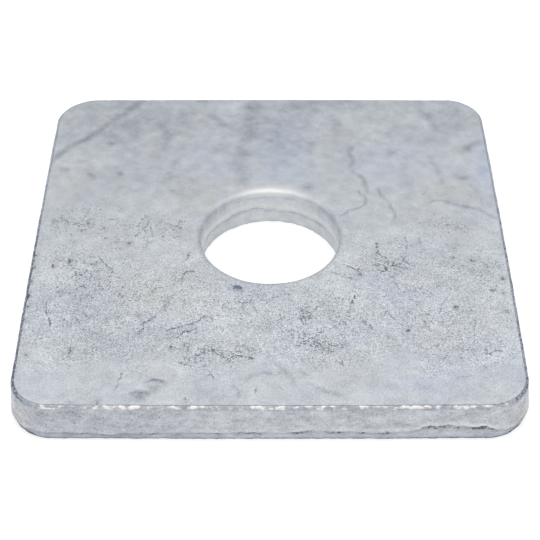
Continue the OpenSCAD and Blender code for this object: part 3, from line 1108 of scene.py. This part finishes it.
@dataclass
class Washer:
    """The plate: a rounded square with rolled, sheared and torn edges and a punched hole."""

    # Half the side at the top edge.
    half_side: float
    thickness: float
    hole_radius: float
    corner_radius: float = 6.0
    top_roll: float = 0.5
    rim_roll: float = 1.0
    # How far the sheared face leans out down to the torn band, and how far that falls back below.
    lean: float = 0.45
    tear_height: float = 1.6
    tear_setback: float = 0.35
    break_height: float = 2.9
    break_flare: float = 0.1
    # How far the sides fall back towards the corners: they are a little full in the middle.
    bow: float = 0.15
    # How much larger than the corner radius the far right, far left, near left and near right corners are.
    rounder: tuple[float, float, float, float] = (0.4, 1.0, 0.0, 0.4)
    # Rounding that the zinc gives the two lower edges, and the share of it by which its middle is cut back.
    foot_roll: float = 0.12
    roll_middle: float = 0.3
    # How far a torn lip stands out over the face above it, the height of its nose and the depth below it.
    lip_out: float = 0.08
    lip_nose: float = 0.1
    lip_groove: float = 0.09
    # Shares of those three on the way from the nose down into the groove.
    nose_out: float = 0.6
    nose_up: float = 0.3
    groove_start: float = 0.5
    # Where the tear climbs, by how far a step faces the near side, and how much more ragged it is for each
    # millimetre of climb.
    climb_facing: Ramp = (0.4, 0.9)
    climb_ragged: float = 0.5
    dent_depth: float = 0.13
    # How many steps go round the plate.
    around: int = 672
    finish: GalvanisedZinc = field(default_factory=GalvanisedZinc)

    def outline(self) -> tuple[np.ndarray, np.ndarray]:
        """Walks round the rounded square at an even pace.

        The outline is an inner square, carried outwards along a unit normal by the corner radius: along a
        side the foot moves and the normal stands still, and round a corner the foot waits and the normal
        turns. The foot falls back by the bow, with the square of the distance from the side's middle, and
        round a corner by what a larger radius takes off: cos + sin - 1 of the turn, times the difference.

        Returns:
            The foot and the normal of each step, two columns each.
        """
        run = 2.0 * (self.half_side - self.corner_radius)
        arc = 0.5 * np.pi * self.corner_radius
        quarter = run + arc
        walked = np.arange(self.around) * (4.0 * quarter / self.around)
        turn = np.floor(walked / quarter)
        left = walked - turn * quarter
        along = np.clip(left, 0.0, run) - run / 2.0
        bend = np.clip(left - run, 0.0, arc) / self.corner_radius
        angle = turn * 0.5 * np.pi
        normal = np.stack([np.cos(angle + bend), np.sin(angle + bend)], axis=1)
        foot = np.stack(
            [
                run / 2.0 * np.cos(angle) - along * np.sin(angle),
                run / 2.0 * np.sin(angle) + along * np.cos(angle),
            ],
            axis=1,
        )
        fall = self.bow * (2.0 * along / run) ** 2
        fall += np.array(self.rounder)[turn.astype(int)] * (np.cos(bend) + np.sin(bend) - 1.0)
        return foot - fall[:, None] * normal, normal

    def climb(self, foot: np.ndarray, normal: np.ndarray) -> np.ndarray:
        """Gives how far the tear ran up on the near side: a little in the middle, and far on the right.

        Args:
            foot: Each step's foot from outline.
            normal: Each step's normal from outline.

        Returns:
            One height for each step, over the usual height of the tear.
        """
        x = foot[:, 0] + self.corner_radius * normal[:, 0]
        facing = smooth_step(*self.climb_facing, -normal[:, 1])
        return facing * np.interp(x, CLIMB_PLACES, CLIMB_HEIGHTS)

    def stand_out(self, height: np.ndarray) -> np.ndarray:
        """Gives how far the outer side stands out at a height: most at the tear, less above and below."""
        places = (0.0, self.tear_height, self.thickness - self.top_roll)
        return np.interp(height, places, (self.lean - self.tear_setback, self.lean, 0.0))

    def rings(self, lip: np.ndarray, ledge: np.ndarray, seam: np.ndarray) -> dict[Band, list[Ring]]:
        """Lists the rows of the closed section.

        They run over the top from the rim to the edge, down the outer side, back under the plate and up
        the hole. The lip comes out of the side with the fourth power of the way down it, the groove goes
        out again with the square of the way left to the foot, and the lip in the hole with the cube.

        Args:
            lip: The height of the torn lip at each step of the outline.
            ledge: How many times its usual size the lip has at each step.
            seam: The height of the break line in the hole at each step.

        Returns:
            The rings of each band.
        """
        top, low, hole = self.thickness, self.foot_roll, self.hole_radius
        rim, reach = hole + self.rim_roll, self.corner_radius
        roll, wide = reach - self.top_roll, hole + self.break_flare
        shoulder, wall_top = top - self.top_roll, top - self.rim_roll
        sunk = reach + self.lean - self.tear_setback
        nose, under = lip + self.lip_nose, lip - self.lip_nose
        out, groove = self.lip_out * ledge, self.lip_groove * ledge
        face, bend = reach + self.stand_out(lip), self.roll_middle * low
        bands: dict[Band, list[Ring]] = {}
        bands[Band.TOP] = [Ring(t, rim, roll, top) for t in np.linspace(0.0, 1.0, ROW_COUNTS[Band.TOP])]
        bands[Band.EDGE] = [
            Ring(1.0, rim, roll + self.top_roll * np.sin(a), top - self.top_roll * (1.0 - np.cos(a)))
            for a in np.radians(np.linspace(0.0, 90.0, ROW_COUNTS[Band.EDGE])[1:])
        ]
        bands[Band.SIDE] = [
            Ring(1.0, rim, reach + self.stand_out(height) + out * t**4, height)
            for t in np.linspace(0.0, 1.0, ROW_COUNTS[Band.SIDE])[1:]
            for height in (shoulder + (nose - shoulder) * t,)
        ]
        bands[Band.TORN] = [
            Ring(1.0, rim, face + self.nose_out * out, lip + self.nose_up * self.lip_nose),
            Ring(1.0, rim, face - self.groove_start * groove, lip),
            *(
                Ring(1.0, rim, reach + self.stand_out(height) - groove * (1.0 - t) ** 2, height)
                for t in np.linspace(0.0, 1.0, ROW_COUNTS[Band.TORN])
                for height in (under + (low - under) * t,)
            ),
            Ring(1.0, rim, sunk - bend, bend),
            Ring(1.0, rim, sunk - low, 0.0),
        ]
        bands[Band.UNDER] = [
            Ring(t, wide + low, sunk - low, 0.0) for t in np.linspace(1.0, 0.0, ROW_COUNTS[Band.UNDER])[1:]
        ]
        bands[Band.CONE] = [
            Ring(0.0, wide + bend, roll, bend),
            *(
                Ring(0.0, wide + (hole - wide) * t, roll, low + (seam - self.lip_nose - low) * t)
                for t in np.linspace(0.0, 1.0, ROW_COUNTS[Band.CONE])
            ),
        ]
        bands[Band.WALL] = [
            Ring(0.0, hole - self.lip_out * (1.0 - t) ** 3, roll, seam + (wall_top - seam) * t)
            for t in np.linspace(0.0, 1.0, ROW_COUNTS[Band.WALL])
        ]
        bands[Band.RIM] = [
            Ring(0.0, hole + self.rim_roll * (1.0 - np.cos(a)), roll, wall_top + self.rim_roll * np.sin(a))
            for a in np.radians(np.linspace(0.0, 90.0, ROW_COUNTS[Band.RIM])[1:-1])
        ]
        return bands

    def surface(self) -> tuple[np.ndarray, dict[Band, slice]]:
        """Carries the closed section round the plate.

        Returns:
            The grid of places, rows by steps by x, y, z, and the rows of each band.
        """
        foot, normal = self.outline()
        edge = foot + self.corner_radius * normal
        spot = np.column_stack([edge, np.zeros(self.around)])
        spoke = edge / np.linalg.norm(edge, axis=1, keepdims=True)
        ring = np.column_stack([self.hole_radius * spoke, np.zeros(self.around)])
        climb = self.climb(foot, normal)
        ragged = sum(swell.at(spot) for swell in TEAR)
        lip = self.tear_height + climb + (1.0 + self.climb_ragged * climb) * ragged
        seam = self.break_height + sum(swell.at(ring) for swell in SEAM)
        bands = self.rings(lip, 1.0 + climb, seam)
        rings = [ring for made in bands.values() for ring in made]
        ends = np.cumsum([len(made) for made in bands.values()])
        rows = {band: slice(end - len(bands[band]), end) for band, end in zip(bands, ends)}
        full = np.ones(self.around)
        share = np.array([ring.across for ring in rings])[:, None, None]
        radius = np.array([ring.radius * full for ring in rings])[..., None]
        reach = np.array([ring.reach * full for ring in rings])[..., None]
        height = np.array([ring.height * full for ring in rings])[..., None]
        flat = (1.0 - share) * radius * spoke + share * (foot + reach * normal)
        return np.concatenate([flat, height], axis=2), rows

    def outward(self, grid: np.ndarray) -> np.ndarray:
        """Gives the unit normals of a closed grid, from the differences of its neighbours both ways.

        Args:
            grid: Places, rows by steps by x, y, z.

        Returns:
            One unit vector for each place, pointing out of the plate.
        """
        along_rows = np.roll(grid, -1, axis=0) - np.roll(grid, 1, axis=0)
        along_steps = np.roll(grid, -1, axis=1) - np.roll(grid, 1, axis=1)
        out = np.cross(along_rows, along_steps)
        return out / np.linalg.norm(out, axis=2, keepdims=True)

    def relief(self, grid: np.ndarray, rows: dict[Band, slice]) -> np.ndarray:
        """Raises the lumps of the coat and of its bands, and sinks the dents.

        Args:
            grid: The plain surface.
            rows: The rows of each band.

        Returns:
            The height to add along each normal, in millimetres.
        """
        rise = sum(swell.at(grid) for swell in COAT)
        for band, lumps in LUMPS.items():
            rise[rows[band]] += sum(swell.at(grid[rows[band]]) for swell in lumps)
        x, y, _ = np.moveaxis(grid[rows[Band.TOP]], 2, 0)
        rise[rows[Band.TOP]] -= self.dent_depth * sum(dent.weight(x, y) for dent in DENTS)
        # The underside only falls back from the plane that it rests on.
        rise[rows[Band.UNDER]] = -np.abs(rise[rows[Band.UNDER]])
        return rise

    def build(self) -> bpy.types.Object:
        """Makes the mesh and its marks, and puts it in the scene in the plate's place.

        Returns:
            The finished piece.
        """
        grid, rows = self.surface()
        foot, normal = self.outline()
        skin = Skin(grid, rows, foot, normal, self.climb(foot, normal))
        skin.paint_all()
        skin.paint_top()
        skin.paint_edge()
        skin.paint_side()
        skin.paint_hole()
        grid = grid + self.relief(grid, rows)[..., None] * self.outward(grid)
        # Nothing reaches below the plane that the plate rests on.
        grid[..., 2] = np.maximum(grid[..., 2], 0.0)
        count = grid.shape[0] * grid.shape[1]
        number = np.arange(count).reshape(grid.shape[:2])
        below = np.roll(number, -1, axis=0)
        quads = np.stack([number, below, np.roll(below, -1, axis=1), np.roll(number, -1, axis=1)], axis=2)
        mesh = bpy.data.meshes.new("galvanised_plate")
        mesh.vertices.add(count)
        mesh.vertices.foreach_set("co", (grid * MM).ravel())
        mesh.loops.add(quads.size)
        mesh.loops.foreach_set("vertex_index", quads.ravel())
        mesh.polygons.add(count)
        mesh.polygons.foreach_set("loop_start", np.arange(count) * 4)
        mesh.update(calc_edges=True)
        mesh.shade_smooth()
        for name, values in skin.marks.items():
            mesh.attributes.new(name, "FLOAT_VECTOR", "POINT").data.foreach_set("vector", values.ravel())
        mesh.validate()
        piece = bpy.data.objects.new("galvanised_plate", mesh)
        bpy.context.scene.collection.objects.link(piece)
        return piece

    def dress(self, piece: bpy.types.Object) -> None:
        """Gives the piece its finish and its place in the frame.

        Args:
            piece: The mesh object from build.
        """
        piece.data.materials.append(self.finish.material())
        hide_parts(NODE)
        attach(piece, BODY)


@dataclass
class Floor:
    """A plain white floor that keeps the plate's shadow."""

    # In metres.
    half_side: float = 3.0
    white: str = "#c8c8c8"
    # The glow that the matt white needs to be seen as full white.
    lift: float = 0.58

    def build(self) -> bpy.types.Object:
        """Lays a flat square under the plate.

        Returns:
            The floor's object.
        """
        corners = np.array([(-1, -1, 0), (1, -1, 0), (1, 1, 0), (-1, 1, 0)]) * self.half_side
        mesh = bpy.data.meshes.new("floor")
        mesh.from_pydata(corners.tolist(), [], [(0, 1, 2, 3)])
        floor = bpy.data.objects.new("floor", mesh)
        bpy.context.scene.collection.objects.link(floor)
        return floor

    def dress(self, floor: bpy.types.Object) -> None:
        """Paints the floor matt, and lifts it to white where it is seen straight, in metal or through glass.

        Args:
            floor: The floor's object.
        """
        made = bpy.data.materials.new("matt_white_floor")
        made.use_nodes = True
        tree = made.node_tree
        tree.nodes.remove(tree.nodes["Principled BSDF"])
        ray = add_node(tree, "ShaderNodeLightPath").node.outputs
        seen = ray["Is Camera Ray"]
        for other in ("Is Glossy Ray", "Is Transmission Ray"):
            seen = add_node(tree, MATH, in_order(seen, ray[other]), **MOST)
        lift = add_node(tree, MATH, in_order(seen, self.lift), **TIMES)
        matt = add_node(tree, "ShaderNodeBsdfDiffuse", {"Color": linear(self.white)})
        glow = add_node(tree, "ShaderNodeEmission", {"Strength": lift})
        both = add_node(tree, "ShaderNodeAddShader", {0: matt, 1: glow})
        tree.links.new(both, tree.nodes["Material Output"].inputs["Surface"])
        floor.data.materials.append(made)


@dataclass
class Studio:
    """Soft light: a white sweep all round, a room that is dimmer behind and bright overhead, and a lamp."""

    # Light at the foot of the sweep, where it ends behind the plate and where it ends behind the camera.
    sweep_foot: float = 0.85
    sweep_back: float = 0.34
    sweep_front: float = 0.75
    # The headings, as y of a unit direction, at which it has its back and its front light.
    headings: tuple[float, float] = (0.7, 0.1)
    # The sine of the elevation at which the sweep ends.
    sweep_end: float = 0.26
    zenith: float = 1.25
    white: str = "#ffffff"
    lamp_colour: str = "#fff9f3"
    # The lamp's lengths are in metres, and its power is in watts.
    lamp_distance: float = 0.8
    # How far the lamp leans from straight above towards the camera, in degrees.
    lamp_lean: float = 32.0
    lamp_width: float = 0.22
    lamp_length: float = 1.0
    lamp_power: float = 0.6

    def light(self) -> None:
        """Makes the room's light, which follows the heading and the sine of the elevation, and the lamp."""
        scene = bpy.context.scene
        scene.view_settings.view_transform = "Standard"
        scene.world = bpy.data.worlds.new("pale_room")
        scene.world.use_nodes = True
        tree = scene.world.node_tree
        aim = add_node(tree, "ShaderNodeTexCoord", out="Generated")
        _, along, up = add_node(tree, SPLIT, in_order(aim)).node.outputs
        top = add_node(tree, RANGE, in_order(along, *self.headings, self.sweep_back, self.sweep_front))
        sweep = add_node(tree, RANGE, in_order(up, 0.0, self.sweep_end, self.sweep_foot, top), **SMOOTH)
        room = add_node(tree, RANGE, in_order(up, self.sweep_end, 1.0, top, self.zenith))
        level = add_node(tree, MATH, in_order(sweep, room), **MOST)
        tree.links.new(level, tree.nodes["Background"].inputs["Strength"])
        tree.nodes["Background"].inputs["Color"].default_value = linear(self.white)
        lamp = bpy.data.lights.new("strip_lamp", "AREA")
        lamp.shape = "RECTANGLE"
        lamp.size = self.lamp_width
        lamp.size_y = self.lamp_length
        lamp.energy = self.lamp_power
        lamp.color = linear(self.lamp_colour)[:3]
        hung = bpy.data.objects.new("strip_lamp", lamp)
        lean = np.radians(self.lamp_lean)
        hung.location = (0.0, -self.lamp_distance * np.sin(lean), self.lamp_distance * np.cos(lean))
        hung.rotation_euler = (-lean, 0.0, 0.0)
        scene.collection.objects.link(hung)


@dataclass
class PhotoCamera:
    """The photograph's camera: level, square on to the plate, and looking down at it."""

    # How far the plate's underside is from the lens, along the line of sight, in millimetres.
    distance: float = 238.7
    # How far the hole's axis lies above the middle of the picture, in millimetres across the line of sight.
    rise: float = 0.79
    # How far it looks down, in degrees.
    tilt: float = 41.92
    focal_pixels: float = 1464.0
    # The sensor's width in millimetres, and the nearest distance that is drawn, in metres.
    sensor: float = 36.0
    nearest: float = 0.01

    def place(self) -> bpy.types.Object:
        """Makes the camera and gives the scene its view.

        Returns:
            The camera's object.
        """
        lens = bpy.data.cameras.new("photo_camera")
        lens.sensor_width = self.sensor
        lens.lens = self.focal_pixels * self.sensor / PHOTO_PIXELS
        lens.clip_start = self.nearest
        camera = bpy.data.objects.new("photo_camera", lens)
        down = np.radians(self.tilt)
        camera.location = (
            0.0,
            -MM * (self.rise * np.sin(down) + self.distance * np.cos(down)),
            MM * (self.distance * np.sin(down) - self.rise * np.cos(down)),
        )
        camera.rotation_euler = (np.pi / 2.0 - down, 0.0, 0.0)
        bpy.context.scene.collection.objects.link(camera)
        bpy.context.scene.camera = camera
        return camera


def main() -> None:
    """Builds the plate, the floor, the light and the camera."""
    logging.basicConfig(level=logging.INFO, format="%(message)s")
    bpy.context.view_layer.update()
    low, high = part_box(NODE)
    bore = next(mount for mount in frame["record"]["mounts"] if mount["kind"] == "bore")
    washer = Washer(
        half_side=(high.x - low.x) / 2.0 / MM - Washer.lean,
        thickness=(high.z - low.z) / MM,
        hole_radius=bore["dims"]["r_mm"],
    )
    plate = washer.build()
    washer.dress(plate)
    LOG.info("%s: %d faces", plate.name, len(plate.data.polygons))
    ground = Floor()
    floor = ground.build()
    ground.dress(floor)
    LOG.info("%s laid", floor.name)
    Studio().light()
    camera = PhotoCamera().place()
    LOG.info("%s set", camera.name)


if __name__ == "__main__":
    main()
